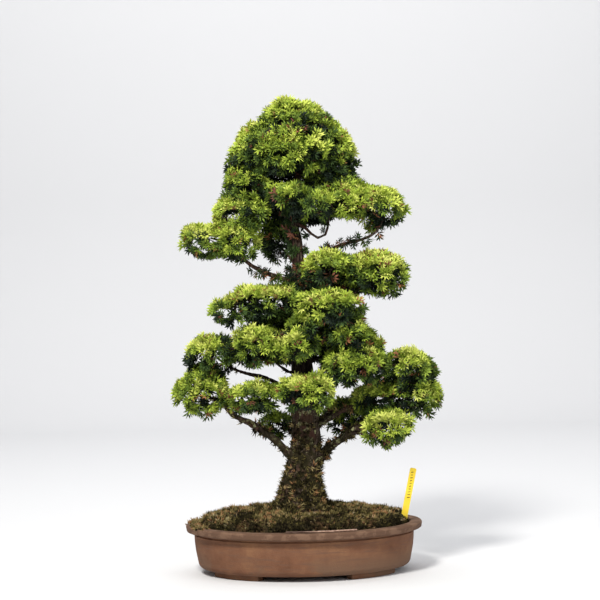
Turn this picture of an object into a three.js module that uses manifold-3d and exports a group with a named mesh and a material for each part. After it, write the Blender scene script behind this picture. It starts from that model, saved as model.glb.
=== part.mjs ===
// A dwarf cypress bonsai, trained upright, in an oval unglazed stoneware pot. Millimetres, +Z up.
// While it is built, the frame is the pot's: its centre on the ground, +X to the right and +Y to
// the back. The finished group is moved so that its origin is at the bottom centre of its box.
import * as THREE from 'three';
import { mergeVertices } from 'three/addons/utils/BufferGeometryUtils.js';
import Module from 'manifold-3d';

// ---------------------------------------------------------------- driving dimensions

const GAP = 0.3;                      // air kept between two pieces that touch

const POT_LENGTH = 460;               // over the lip
const POT_WIDTH = 360;
const POT_HEIGHT = 95;                // ground to the top of the lip
const POT_WALL = 9;
const POT_FLOOR = 9;
const POT_WALL_LEAN = 7;              // how far the wall draws in from the lip to the base
const POT_BASE_ROUND = 14;            // radius where the wall turns under
const POT_INNER_ROUND = 10;           // radius where the floor meets the inside of the wall
const LIP_HEIGHT = 17;
const LIP_OVERHANG = 16;              // the lip past the outside of the wall
const LIP_ROUND = 7;

const FOOT_HEIGHT = 10;
const FOOT_WIDTH = 22;                // across the curved foot
const FOOT_SETBACK = 4;               // the foot's outside from the edge of the flat base
const FOOT_FROM = 24;                 // degrees round each quarter where a foot starts and ends
const FOOT_TO = 62;

const DRAIN_DIAMETER = 28;
const DRAIN_SPACING = 220;            // between the two drain holes

const SCREEN_SIDE = 46;               // square of plastic mesh over each drain hole
const SCREEN_THICKNESS = 1.6;
const SCREEN_OPENINGS = 3;            // mesh openings along one side
const SCREEN_BAR = 2.4;               // strand between two openings
const CLIP_WIRE = 2;
const CLIP_TAIL = 9;                  // each wire end bent out under the pot

const SOIL_EDGE_BELOW_LIP = 12;       // soil at the wall, under the top of the lip
const MOSS_RISE = 22;                 // top of the mound over the top of the lip
const MOSS_THICKNESS = 8;
const MOSS_EDGE = 7;                  // moss at the wall

const LABEL_LENGTH = 150;
const LABEL_WIDTH = 12.5;
const LABEL_THICKNESS = 1;
const LABEL_POINT = 18;
const LABEL_BURIED = 46;
const LABEL_FROM_WALL = 12;           // label's centre line from the inside of the wall
const LABEL_FORWARD = 20;
const LABEL_TILT = 12;                // degrees, top to the right

const TWIG_DIAMETER = 3.6;            // dead twig dropped on the front of the lip
const TWIG_FROM = 261;                // degrees round the lip
const TWIG_TO = 297;

const TREE_HEIGHT = 830;              // top of the lip to the tip of the crown
const CROWN_REACH = 275;              // trunk to the tip of the longest bough, sideways
const CROWN_DEPTH = 270;              // the same, front to back
const TRUNK_DIAMETER = 73;            // over the root flare
const TRUNK_TIP_DIAMETER = 7;
const FLARE_DIAMETER = 42;            // what the root flare adds at the soil
const FLARE_HEIGHT = 22;              // height in which the flare falls to a third
const ROOT_DIAMETER = 30;             // surface root where it leaves the trunk
const ROOT_SPREAD = 96;               // its tip from the middle of the trunk
const STUB_DIAMETER = 16;             // sawn-off branch high on the front

// ---------------------------------------------------------------- the tree's habit

// The crown is laid out in hundredths: x of CROWN_REACH, y of CROWN_DEPTH, and z of TREE_HEIGHT
// over the top of the lip. A taller, wider or deeper tree so keeps its habit.

const TRUNK_LINE = [
  [-3, 0, -5], [-3, 0, 1], [-2, 0, 6], [1, 1, 13], [3, 2, 19], [3, 1, 25], [2, 0, 31], [1, -1, 37],
  [0, 0, 45], [0, 1, 52], [-1, 1, 58], [1, 0, 64], [-4, -1, 69], [-3, 0, 75], [1, 1, 80], [2, 0, 86],
  [2, 0, 93],
];

const ROOT_HEADINGS = [15, 75, 140, 200, 255, 310];    // degrees round the trunk

// Shoots that belong to the trunk's own wood: where each leaves it, its way and its diameters.
const SHOOTS = [
  { leaves: 71.5, way: [[-5, -5, 72], [-9, -9, 72.3]], thick: [STUB_DIAMETER, STUB_DIAMETER] },
  { leaves: 75.5, way: [[-15, -3, 78.5], [-32, -5, 80]], thick: [7, 4] },
  { leaves: 78, way: [[11, 6, 80.5], [20, 10, 81.5]], thick: [7, 4] },
  { leaves: 81, way: [[-13, -5, 86], [-28, -7, 89]], thick: [7, 4] },
  { leaves: 82, way: [[15, 0, 86], [27, 0, 88]], thick: [7, 4] },
  { leaves: 83, way: [[0, -15, 86.5], [-2, -26, 87]], thick: [6, 4] },
  { leaves: 84, way: [[1, 18, 88], [-1, 29, 89]], thick: [6, 4] },
];

// Boughs from the lowest tier up: the height each leaves the trunk at, its way outwards, and its
// diameters, in millimetres, at the trunk and at the tip.
const BOUGHS = {
  '1_left': {
    leaves: 14.5, thick: [21, 7],
    way: [[-8, 0, 15.5], [-21, -2, 20], [-30, -5, 22], [-39, -6, 24], [-47, -5, 25], [-56, -3, 28],
      [-68, 0, 30]],
  },
  '1_right': {
    leaves: 13.5, thick: [24, 10],
    way: [[11, -1, 14.5], [21, -5, 18], [31, -9, 20], [40, -13, 22], [50, -15, 23], [60, -17, 23.5]],
  },
  '1_right_upper': {
    leaves: 20, thick: [13, 6],
    way: [[8, 2, 21.5], [20, 2, 24], [31, 4, 26], [40, 5, 27], [52, 5, 27.5], [66, 4, 29], [79, 2, 31]],
  },
  '1_back_left': { leaves: 16.5, thick: [13, 7], way: [[-4, 9, 19], [-10, 20, 21.5], [-18, 33, 22.5]] },
  '1_back_right': { leaves: 18, thick: [22, 9], way: [[6, 7, 21], [24, 30, 25], [44, 50, 26.5]] },
  '1_front': { leaves: 25, thick: [12, 6], way: [[1, -8, 27], [1, -20, 29.5], [1, -38, 31]] },
  '2_left': {
    leaves: 28, thick: [12, 5],
    way: [[-5, -2, 29.5], [-14, -4, 32], [-25, -5, 34], [-37, -5, 35], [-46, -4, 36], [-56, -3, 38],
      [-62, -2, 40]],
  },
  '2_left_thin': { leaves: 34, thick: [8, 5], way: [[-12, -10, 36], [-21, -12, 39], [-30, -12, 42]] },
  '2_right': {
    leaves: 31, thick: [14, 6], way: [[15, -12, 34], [31, -19, 35.5], [52, -12, 36], [72, -5, 36.5]],
  },
  '2_back': {
    leaves: 34.5, thick: [14, 6], way: [[-2, 12, 36.5], [-6, 24, 38], [-11, 43, 39.5]],
    fork: { from: [-2, 12, 36.5], way: [[12, 25, 38], [34, 45, 38.5]], thick: [9, 5] },
  },
  '3_front_right': { leaves: 40.5, thick: [9, 5], way: [[14, -12, 42.5], [30, -20, 44]] },
  '3_left': {
    leaves: 46, thick: [12, 5], way: [[-14, -6, 49], [-26, -8, 51], [-40, -8, 51.5], [-50, -6, 51.5]],
  },
  '3_front': { leaves: 47, thick: [10, 5], way: [[9, -20, 49.5], [21, -36, 51]] },
  '3_right': {
    leaves: 51, thick: [12, 5],
    way: [[18, -4, 54.5], [32, -5, 55], [45, -5, 54], [56, -5, 55.5], [64, -5, 58.5]],
  },
  '3_back': { leaves: 51.5, thick: [12, 6], way: [[5, 22, 54.5], [12, 43, 55.5]] },
  '4_left': {
    leaves: 56, thick: [13, 5],
    way: [[-15, -4, 57.5], [-26, -6, 59], [-36, -7, 61], [-41, -7, 63], [-52, -6, 66], [-62, -5, 67]],
  },
  '4_back_left': { leaves: 59.5, thick: [8, 5], way: [[-9, 17, 63.5], [-16, 29, 66]] },
  '4_right': {
    leaves: 57, thick: [12, 5],
    way: [[13, -2, 61], [22, -5, 63.5], [33, -6, 65], [46, -6, 66], [55, -6, 67.5], [62, -5, 71.5]],
  },
  '4_drooping': {
    leaves: 70.5, thick: [8, 5], way: [[5, -7, 69], [13, -9, 66.5], [19, -10, 67], [23, -12, 73]],
  },
  '5_front': { leaves: 71, thick: [8, 5], way: [[0, -15, 74.5], [-9, -26, 75]] },
  '5_back': { leaves: 71.5, thick: [10, 6], way: [[1, 22, 74], [2, 40, 75]] },
};

// Foliage pads, each of a few rounded lobes: centre x, y, z, and half its width, depth and height.
const PADS = {
  apex: [[-6, -4, 93.5, 16, 23, 6.5], [6, 0, 93.5, 15, 22, 6]],
  '7_left': [[-29, -6, 87, 16, 20, 7]],
  '7_right': [[26, 0, 87, 16, 20, 7]],
  '7_front': [[-2, -22, 87, 26, 17, 5]],
  '7_back': [[-1, 24, 88, 28, 20, 7.5]],
  '6_left': [[-34, -6, 79.5, 14, 18, 4.5]],
  '6_right': [[22, 4, 79.5, 18, 19, 4]],
  '5_front': [[-7, -22, 76.5, 12, 15, 3]],
  '5_back': [[2, 33, 75, 31, 22, 4]],
  '4_left': [[-41, -9, 73, 21, 22, 4], [-65, -4, 67, 18, 22, 4.5], [-43, -11, 66.5, 16, 20, 5]],
  '4_back_left': [[-14, 26, 66.5, 14, 17, 4.5]],
  '4_right': [[17, -19, 74.5, 19, 19, 3], [36, -9, 75.5, 19, 22, 4.5], [58, -2, 74, 19, 24, 5.5]],
  '3_left': [[-26, -7, 52.5, 28, 24, 4], [-48, -6, 50.5, 15, 19, 3]],
  '3_front': [[20, -30, 51, 23, 19, 4], [9, -24, 46.5, 14, 16, 3.5]],
  '3_front_right': [[33, -17, 44.5, 15, 20, 5]],
  '3_right': [[55, -4, 58.5, 24, 24, 5.5]],
  '3_right_inner': [[18, -17, 60, 15, 19, 4]],
  '3_back': [[17, 35, 55.5, 29, 24, 6]],
  '2_left': [[-64, -2, 40.5, 18, 24, 4.5], [-30, -11, 42, 20, 26, 5], [-3, -26, 42, 13, 17, 3]],
  '2_right': [[38, -19, 37, 22, 22, 4.5]],
  '2_right_end': [[76, -4, 36.5, 17, 22, 4.5]],
  '2_back_left': [[-11, 35, 43.5, 29, 24, 6]],
  '2_back_right': [[36, 37, 41, 26, 22, 6]],
  '1_left': [[-70, 0, 31, 20, 24, 5.5], [-32, -9, 30, 21, 22, 4]],
  '1_front': [[4, -31, 31.5, 19, 19, 4.5]],
  '1_right': [[60, -17, 22.5, 18, 20, 4]],
  '1_right_upper': [[83, 0, 29.5, 16, 22, 5], [56, 6, 29, 21, 22, 3.5]],
  '1_back_left': [[-19, 30, 23, 12, 17, 3]],
  '1_back_right': [[35, 41, 24, 22, 22, 4.5]],
};

// ---------------------------------------------------------------- solids and their helpers

const wasm = await Module();
wasm.setup();

// A closed geometry as a solid that can be joined and cut.
function solidOf(geometry) {
  geometry.deleteAttribute('normal');
  geometry.deleteAttribute('uv');
  const merged = mergeVertices(geometry, 1e-4);
  const corners = merged.index.array;
  const triVerts = [];
  for (let i = 0; i < corners.length; i += 3) {
    const [a, b, c] = corners.slice(i, i + 3);
    if (a !== b && b !== c && c !== a) triVerts.push(a, b, c);
  }
  const vertProperties = new Float32Array(merged.attributes.position.array);
  return new wasm.Manifold(
    new wasm.Mesh({ numProp: 3, vertProperties, triVerts: new Uint32Array(triVerts) }),
  );
}

function geometryOf(solid) {
  const mesh = solid.getMesh();
  const geometry = new THREE.BufferGeometry();
  geometry.setAttribute('position', new THREE.BufferAttribute(mesh.vertProperties, 3));
  geometry.setIndex(new THREE.BufferAttribute(mesh.triVerts, 1));
  geometry.computeVertexNormals();
  return geometry;
}

const joined = (solids) => solids.reduce((all, one) => all.add(one));
const without = (solid, cutters) => cutters.reduce((rest, cutter) => rest.subtract(cutter), solid);

// The biggest body of a solid that a cut has left in several bodies.
function mainBody(solid) {
  const bodies = solid.decompose();
  return bodies.reduce((most, body) => (body.volume() > most.volume() ? body : most));
}

// ---------------------------------------------------------------- the pot

const lipRadius = POT_LENGTH / 2;
const wallRadius = lipRadius - LIP_OVERHANG;
const baseRadius = wallRadius - POT_WALL_LEAN;
const insideRadius = wallRadius - POT_WALL;
const insideBaseRadius = baseRadius - POT_WALL;
const ovalness = (POT_LENGTH - POT_WIDTH) / 2;
const floorTop = FOOT_HEIGHT + POT_FLOOR;
const OVAL_SIDES = 36;

// Half the pot's depth where its half length is r. The wall keeps one thickness all the way round.
function halfDepth(r) {
  return r > insideBaseRadius ? r - ovalness : r * (insideBaseRadius - ovalness) / insideBaseRadius;
}

// An oval solid turned from a profile of (half length, height) points, from the axis to the axis.
function ovalTurned(profile) {
  const geometry = new THREE.LatheGeometry(profile, OVAL_SIDES);
  geometry.rotateX(Math.PI / 2);
  const position = geometry.attributes.position;
  for (let i = 0; i < position.count; i++) {
    const x = position.getX(i);
    const y = position.getY(i);
    const r = Math.hypot(x, y);
    if (r > 0) position.setXYZ(i, x, y * halfDepth(r) / r, position.getZ(i));
  }
  return solidOf(geometry);
}

function potShell() {
  const lipBottom = POT_HEIGHT - LIP_HEIGHT;
  const outline = new THREE.Path();
  outline.moveTo(0, FOOT_HEIGHT);
  outline.lineTo(baseRadius - POT_BASE_ROUND, FOOT_HEIGHT);
  outline.quadraticCurveTo(baseRadius, FOOT_HEIGHT, baseRadius, FOOT_HEIGHT + POT_BASE_ROUND);
  outline.lineTo(wallRadius, lipBottom);
  outline.lineTo(lipRadius - LIP_ROUND, lipBottom);
  outline.quadraticCurveTo(lipRadius, lipBottom, lipRadius, lipBottom + LIP_ROUND);
  outline.lineTo(lipRadius, POT_HEIGHT - LIP_ROUND);
  outline.quadraticCurveTo(lipRadius, POT_HEIGHT, lipRadius - LIP_ROUND, POT_HEIGHT);
  outline.lineTo(insideRadius + LIP_ROUND, POT_HEIGHT);
  outline.quadraticCurveTo(insideRadius, POT_HEIGHT, insideRadius, POT_HEIGHT - LIP_ROUND);
  outline.lineTo(insideBaseRadius, floorTop + POT_INNER_ROUND);
  outline.quadraticCurveTo(
    insideBaseRadius, floorTop, insideBaseRadius - POT_INNER_ROUND, floorTop,
  );
  outline.lineTo(0, floorTop);
  return ovalTurned(outline.getPoints(2));
}

// One curved foot, a stretch of a flat oval ring in the quarter that starts at the given angle.
function potFoot(quarter) {
  const outer = baseRadius - POT_BASE_ROUND - FOOT_SETBACK;
  const inner = outer - FOOT_WIDTH;
  const mirrored = quarter % 2 === 1;
  const start = quarter * 90 + (mirrored ? 90 - FOOT_TO : FOOT_FROM);
  const end = start + FOOT_TO - FOOT_FROM;
  const from = THREE.MathUtils.degToRad(start);
  const to = THREE.MathUtils.degToRad(end);
  const outline = new THREE.Shape();
  outline.absellipse(0, 0, outer, halfDepth(outer), from, to, false);
  outline.absellipse(0, 0, inner, halfDepth(inner), to, from, true);
  const depth = FOOT_HEIGHT + POT_FLOOR / 2;
  const geometry = new THREE.ExtrudeGeometry(outline, { depth, bevelEnabled: false, curveSegments: 6 });
  return solidOf(geometry);
}

function drainHole(side) {
  const hole = new THREE.CylinderGeometry(DRAIN_DIAMETER / 2, DRAIN_DIAMETER / 2, floorTop * 3, 20);
  hole.rotateX(Math.PI / 2);
  hole.translate(side * DRAIN_SPACING / 2, 0, 0);
  return solidOf(hole);
}

const pot = without(joined([potShell(), ...[0, 1, 2, 3].map(potFoot)]), [-1, 1].map(drainHole));

// ---------------------------------------------------------------- a limb of wood or wire

// A round limb along a smooth line of points. Its radius follows radiusAt(share of its length),
// and grow adds the same all round it and at both ends.
function limb(line, radiusAt, { sides = 7, steps = 2 * line.length - 2, grow = 0 } = {}) {
  const curve = new THREE.CatmullRomCurve3(line);
  const frames = curve.computeFrenetFrames(steps);
  const geometry = new THREE.CylinderGeometry(1, 1, 1, sides, steps);
  const position = geometry.attributes.position;
  const place = new THREE.Vector3();
  for (let i = 0; i < position.count; i++) {
    const step = Math.round((position.getY(i) + 0.5) * steps);
    const share = step / steps;
    const radius = radiusAt(share) + grow;
    const past = step === 0 ? -grow : step === steps ? grow : 0;
    curve.getPointAt(share, place);
    place.addScaledVector(frames.tangents[step], past);
    place.addScaledVector(frames.normals[step], position.getX(i) * radius);
    place.addScaledVector(frames.binormals[step], -position.getZ(i) * radius);
    position.setXYZ(i, place.x, place.y, place.z);
  }
  return solidOf(geometry);
}

const tapered = ([start, end]) => (share) => THREE.MathUtils.lerp(start, end, share) / 2;

// ---------------------------------------------------------------- drainage, soil and moss

function box(width, depth, height, x, y, z) {
  const geometry = new THREE.BoxGeometry(width, depth, height);
  geometry.translate(x, y, z);
  return solidOf(geometry);
}

function drainageScreen(side) {
  const centre = side * DRAIN_SPACING / 2;
  const z = floorTop + GAP + SCREEN_THICKNESS / 2;
  const pitch = (SCREEN_SIDE - SCREEN_BAR) / SCREEN_OPENINGS;
  const strands = [];
  for (let i = 0; i <= SCREEN_OPENINGS; i++) {
    const offset = (i - SCREEN_OPENINGS / 2) * pitch;
    strands.push(box(SCREEN_BAR, SCREEN_SIDE, SCREEN_THICKNESS, centre + offset, 0, z));
    strands.push(box(SCREEN_SIDE, SCREEN_BAR, SCREEN_THICKNESS, centre, offset, z));
  }
  return joined(strands);
}

// A staple of wire over the screen, down through the drain hole and bent out under the pot.
function screenClip(side, grow = 0) {
  const wire = CLIP_WIRE / 2;
  const leg = DRAIN_DIAMETER / 2 - wire - 2 * GAP;
  const top = floorTop + 2 * GAP + SCREEN_THICKNESS + wire;
  const bottom = FOOT_HEIGHT - GAP - wire;
  const bend = CLIP_WIRE;
  const line = [
    [-leg - CLIP_TAIL, bottom], [-leg - bend, bottom], [-leg, bottom - 0.1], [-leg, floorTop],
    [-leg, top - bend], [-leg + bend, top], [leg - bend, top], [leg, top - bend],
    [leg, floorTop], [leg, bottom - 0.1], [leg + bend, bottom], [leg + CLIP_TAIL, bottom],
  ].map(([x, z]) => new THREE.Vector3(side * DRAIN_SPACING / 2 + x, 0, z));
  const geometry = new THREE.CylinderGeometry(1, 1, 1, 6, line.length - 1);
  const position = geometry.attributes.position;
  for (let i = 0; i < position.count; i++) {
    const step = Math.round((position.getY(i) + 0.5) * (line.length - 1));
    const before = line[Math.max(step - 1, 0)];
    const after = line[Math.min(step + 1, line.length - 1)];
    const along = after.clone().sub(before).normalize();
    const across = new THREE.Vector3(along.z, 0, -along.x);
    const place = line[step].clone().addScaledVector(across, position.getX(i) * (wire + grow));
    position.setXYZ(i, place.x, -position.getZ(i) * (wire + grow), place.z);
  }
  return solidOf(geometry);
}

// Height of the mound over its own edge: full in the middle, steep at the wall.
const MOUND_POINTS = 5;
function moundProfile(radius, edge, top) {
  const points = [];
  for (let i = 0; i <= MOUND_POINTS; i++) {
    const share = Math.cos((i / MOUND_POINTS) * Math.PI / 2);
    const rise = Math.cbrt(1 - share ** 4);
    points.push(new THREE.Vector2(radius * share, edge + (top - edge) * rise));
  }
  return points;
}

const soilEdge = POT_HEIGHT - SOIL_EDGE_BELOW_LIP;
const mossTop = POT_HEIGHT + MOSS_RISE;

function soilBody() {
  const bottom = floorTop + GAP;
  const profile = [
    new THREE.Vector2(0, bottom),
    new THREE.Vector2(insideBaseRadius - POT_INNER_ROUND, bottom),
    new THREE.Vector2(insideBaseRadius - GAP, bottom + POT_INNER_ROUND),
    ...moundProfile(insideRadius - POT_WALL_LEAN / 4, soilEdge, mossTop - MOSS_THICKNESS),
  ];
  return ovalTurned(profile);
}

function mossCarpet() {
  const radius = insideRadius - POT_WALL_LEAN / 4;
  const underside = moundProfile(radius, soilEdge + GAP, mossTop - MOSS_THICKNESS + GAP).reverse();
  const surface = moundProfile(radius, soilEdge + MOSS_EDGE, mossTop);
  return ovalTurned([...underside, ...surface]);
}

// ---------------------------------------------------------------- the label and the twig

function plantLabel(grow = 0) {
  const half = LABEL_WIDTH / 2 + grow;
  const above = LABEL_LENGTH - LABEL_BURIED + grow;
  const outline = new THREE.Shape();
  outline.moveTo(0, -LABEL_BURIED - 3 * grow);
  outline.lineTo(half, -LABEL_BURIED + LABEL_POINT - grow);
  outline.lineTo(half, above - 2);
  outline.lineTo(half - 2, above);
  outline.lineTo(-half + 2, above);
  outline.lineTo(-half, above - 2);
  outline.lineTo(-half, -LABEL_BURIED + LABEL_POINT - grow);
  outline.closePath();
  const depth = LABEL_THICKNESS + 2 * grow;
  const geometry = new THREE.ExtrudeGeometry(outline, { depth, bevelEnabled: false });
  geometry.translate(0, 0, -depth / 2);
  geometry.rotateX(Math.PI / 2);
  geometry.rotateY(THREE.MathUtils.degToRad(LABEL_TILT));
  geometry.translate(insideRadius - LABEL_FROM_WALL, -LABEL_FORWARD, POT_HEIGHT);
  return solidOf(geometry);
}

function fallenTwig() {
  const middle = (lipRadius + insideRadius) / 2;
  const radius = TWIG_DIAMETER / 2;
  const line = [];
  for (let i = 0; i <= 6; i++) {
    const angle = THREE.MathUtils.degToRad(THREE.MathUtils.lerp(TWIG_FROM, TWIG_TO, i / 6));
    const x = middle * Math.cos(angle);
    const y = halfDepth(middle) * Math.sin(angle);
    line.push(new THREE.Vector3(x, y, POT_HEIGHT + GAP + radius));
  }
  return limb(line, () => radius, { sides: 6, steps: 6 });
}

// ---------------------------------------------------------------- the tree

const crownPoint = ([x, y, z]) => new THREE.Vector3(
  x * CROWN_REACH / 100, y * CROWN_DEPTH / 100, POT_HEIGHT + z * TREE_HEIGHT / 100,
);

const trunkLine = TRUNK_LINE.map(crownPoint);
const trunkCurve = new THREE.CatmullRomCurve3(trunkLine);

// The trunk's middle at a height given in hundredths of the tree's.
function trunkMiddle(height) {
  const wanted = crownPoint([0, 0, height]).z;
  let low = 0;
  let high = 1;
  for (let i = 0; i < 20; i++) {
    const half = (low + high) / 2;
    if (trunkCurve.getPointAt(half).z < wanted) low = half;
    else high = half;
  }
  return trunkCurve.getPointAt(low);
}

function trunkRadius(share) {
  const height = trunkCurve.getPointAt(share).z - mossTop;
  const rise = THREE.MathUtils.clamp(height / (TREE_HEIGHT - MOSS_RISE), 0, 1);
  const taper = (TRUNK_DIAMETER - TRUNK_TIP_DIAMETER) * (1 - rise) ** 1.4;
  const flare = FLARE_DIAMETER * Math.exp(-Math.abs(height) / FLARE_HEIGHT);
  return (TRUNK_TIP_DIAMETER + taper + flare) / 2;
}

function root(heading, grow) {
  const angle = THREE.MathUtils.degToRad(heading);
  const base = trunkMiddle(5);
  const out = (reach, z) => new THREE.Vector3(
    base.x + reach * ROOT_SPREAD * Math.cos(angle), reach * ROOT_SPREAD * Math.sin(angle), z,
  );
  const line = [[0.1, 2], [0.45, -5], [0.75, -16], [1, -30]].map(([reach, z]) => out(reach, mossTop + z));
  return limb(line, tapered([ROOT_DIAMETER, ROOT_DIAMETER / 3]), { sides: 6, steps: 4, grow });
}

function shoot({ leaves, way, thick }, grow) {
  const line = [trunkMiddle(leaves), ...way.map(crownPoint)];
  return limb(line, tapered(thick), { sides: 6, steps: 3, grow });
}

function trunkWood(grow = 0) {
  return joined([
    limb(trunkLine, trunkRadius, { sides: 10, steps: 18, grow }),
    ...ROOT_HEADINGS.map((heading) => root(heading, grow)),
    ...SHOOTS.map((one) => shoot(one, grow)),
  ]);
}

function boughWood({ leaves, way, thick, fork }, grow = 0) {
  const main = limb([trunkMiddle(leaves), ...way.map(crownPoint)], tapered(thick), { grow });
  if (!fork) return main;
  const side = limb([fork.from, ...fork.way].map(crownPoint), tapered(fork.thick), { grow });
  return main.add(side);
}

function foliage(lobes, grow = 0) {
  return joined(lobes.map(([x, y, z, width, depth, height]) => {
    const centre = crownPoint([x, y, z]);
    const lobe = new THREE.IcosahedronGeometry(1, 1);
    lobe.scale(
      width * CROWN_REACH / 100 + grow, depth * CROWN_DEPTH / 100 + grow, height * TREE_HEIGHT / 100 + grow,
    );
    lobe.translate(centre.x, centre.y, centre.z);
    return solidOf(lobe);
  }));
}

// ---------------------------------------------------------------- the pieces, put together

const LEAF = { color: 0x5f7f2e, roughness: 0.85, metalness: 0 };
const BARK = { color: 0x6b5a4b, roughness: 0.9, metalness: 0 };
const FINISHES = {
  pot: { color: 0x7d5c44, roughness: 0.8, metalness: 0 },
  soil: { color: 0x3a2c20, roughness: 1, metalness: 0 },
  moss: { color: 0x6a6b35, roughness: 0.95, metalness: 0 },
  screen: { color: 0x2b2f2b, roughness: 0.6, metalness: 0 },
  wire: { color: 0xb8b4ac, roughness: 0.35, metalness: 1 },
  label: { color: 0xe6c832, roughness: 0.45, metalness: 0 },
  twig: { color: 0xb09a7c, roughness: 0.85, metalness: 0 },
};

const tree = new THREE.Group();

function place(name, solid, finish) {
  const mesh = new THREE.Mesh(geometryOf(solid), new THREE.MeshStandardMaterial(finish));
  mesh.name = name;
  tree.add(mesh);
}

const trunkCutter = trunkWood(GAP);
const labelCutter = plantLabel(GAP);
const sides = { left: -1, right: 1 };

place('pot', pot, FINISHES.pot);

const underSoil = [];
for (const [name, side] of Object.entries(sides)) {
  const clipCutter = screenClip(side, GAP);
  const screen = drainageScreen(side);
  place(`drainage_screen_${name}`, screen.subtract(clipCutter), FINISHES.screen);
  place(`screen_clip_${name}`, screenClip(side), FINISHES.wire);
  const width = SCREEN_SIDE + 2 * GAP;
  const height = 2 * (SCREEN_THICKNESS + CLIP_WIRE + 3 * GAP);
  underSoil.push(box(width, width, height, side * DRAIN_SPACING / 2, 0, floorTop));
}

place('soil', mainBody(without(soilBody(), [trunkCutter, labelCutter, ...underSoil])), FINISHES.soil);
place('moss', mainBody(without(mossCarpet(), [trunkCutter, labelCutter])), FINISHES.moss);
place('trunk', trunkWood(), BARK);
place('plant_label', plantLabel(), FINISHES.label);
place('fallen_twig', fallenTwig(), FINISHES.twig);

const wood = [trunkCutter];
for (const [name, bough] of Object.entries(BOUGHS)) {
  place(`bough_${name}`, mainBody(without(boughWood(bough), wood)), BARK);
  wood.push(boughWood(bough, GAP));
}

const grown = [...wood];
for (const [name, lobes] of Object.entries(PADS)) {
  place(`foliage_${name}`, mainBody(without(foliage(lobes), grown)), LEAF);
  grown.push(foliage(lobes, GAP));
}

// The origin goes to the bottom centre of the whole piece.
const group = new THREE.Group();
const bounds = new THREE.Box3().setFromObject(tree);
const middle = bounds.getCenter(new THREE.Vector3());
tree.position.set(-middle.x, -middle.y, -bounds.min.z);
group.add(tree);

export default group;
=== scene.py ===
"""A dwarf cypress bonsai in an oval stoneware pot: the finished surfaces around its CAD frame."""

import math
import random

import bmesh
import bpy
import numpy as np
from mathutils import Matrix, Vector, noise
from mathutils.bvhtree import BVHTree
from mathutils.kdtree import KDTree


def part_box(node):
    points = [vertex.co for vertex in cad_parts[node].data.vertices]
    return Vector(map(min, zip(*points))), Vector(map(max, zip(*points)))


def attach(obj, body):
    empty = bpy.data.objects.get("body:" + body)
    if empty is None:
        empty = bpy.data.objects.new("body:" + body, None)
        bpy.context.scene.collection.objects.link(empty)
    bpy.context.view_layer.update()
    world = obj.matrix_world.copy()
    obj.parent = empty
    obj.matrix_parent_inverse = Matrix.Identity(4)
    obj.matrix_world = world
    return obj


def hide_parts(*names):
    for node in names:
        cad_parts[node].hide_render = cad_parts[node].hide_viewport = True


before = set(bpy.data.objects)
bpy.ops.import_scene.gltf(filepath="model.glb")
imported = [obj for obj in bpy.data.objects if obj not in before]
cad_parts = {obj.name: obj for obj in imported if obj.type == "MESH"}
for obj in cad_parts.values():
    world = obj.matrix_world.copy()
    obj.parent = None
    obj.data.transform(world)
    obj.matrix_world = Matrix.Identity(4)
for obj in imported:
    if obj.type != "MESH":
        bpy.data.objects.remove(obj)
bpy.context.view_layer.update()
MM = 0.001

# ---- places, from the frame

pot_low, pot_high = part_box("pot")
moss_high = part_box("moss")[1]
label_low, label_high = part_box("plant_label")
POT_CENTRE = (pot_low + pot_high) / 2
RIM = pot_high.z
POT_HALF_LENGTH = (pot_high.x - pot_low.x) / 2
POT_HALF_WIDTH = (pot_high.y - pot_low.y) / 2
WOOD_NODES = [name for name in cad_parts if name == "trunk" or name.startswith("bough_")]
PAD_NODES = sorted(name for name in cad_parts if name.startswith("foliage_"))


# ---- small tools

def painted(piece, material):
    piece.data.materials.clear()
    piece.data.materials.append(material)


def new_piece(name, mesh, material=None):
    """A mesh as an object at the origin, with its material."""
    piece = bpy.data.objects.new(name, mesh)
    bpy.context.scene.collection.objects.link(piece)
    if material:
        painted(piece, material)
    return piece


def shown(piece, slot, *stands_for):
    """Marks a finished piece: attaches it to its body and hides the CAD nodes that it stands in for. The
    slot is not used.
    """
    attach(piece, "root")
    if stands_for:
        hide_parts(*stands_for)
    return piece


def mesh_of(name, points, faces, smooth=True):
    mesh = bpy.data.meshes.new(name)
    mesh.from_pydata([tuple(p) for p in points], [], faces)
    mesh.update()
    mesh.shade_smooth() if smooth else mesh.shade_flat()
    return mesh


def cad_mesh(names):
    """The named CAD nodes as one bmesh with shared corners."""
    bm = bmesh.new()
    for name in names:
        bm.from_mesh(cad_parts[name].data)
    bmesh.ops.remove_doubles(bm, verts=bm.verts, dist=0.01 * MM)
    return bm


def tree_over(names):
    bm = cad_mesh(names)
    tree = BVHTree.FromBMesh(bm)
    bm.free()
    return tree


def applied(piece, name):
    """A plain mesh of the piece with its modifiers, in place of the piece."""
    graph = bpy.context.evaluated_depsgraph_get()
    mesh = bpy.data.meshes.new_from_object(piece.evaluated_get(graph), depsgraph=graph)
    mesh.name = name
    old = piece.data
    bpy.data.objects.remove(piece)
    if old.users == 0 and isinstance(old, bpy.types.Mesh):
        bpy.data.meshes.remove(old)
    return mesh


def mesh_from(bm, name):
    mesh = bpy.data.meshes.new(name)
    bm.to_mesh(mesh)
    bm.free()
    return mesh


def remeshed(bm, name, voxel, smoothing=0):
    """A closed even skin over the solids in a bmesh, softened where they meet."""
    piece = new_piece(name, mesh_from(bm, name))
    skin = piece.modifiers.new("skin", "REMESH")
    skin.mode = "VOXEL"
    skin.voxel_size = voxel
    if smoothing:
        soften = piece.modifiers.new("soften", "SMOOTH")
        soften.factor = 0.5
        soften.iterations = smoothing
    return applied(piece, name)


def corners_and_normals(mesh):
    count = len(mesh.vertices)
    places = np.empty(count * 3)
    normals = np.empty(count * 3)
    mesh.vertices.foreach_get("co", places)
    mesh.vertices.foreach_get("normal", normals)
    return places.reshape(-1, 3), normals.reshape(-1, 3)


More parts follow.
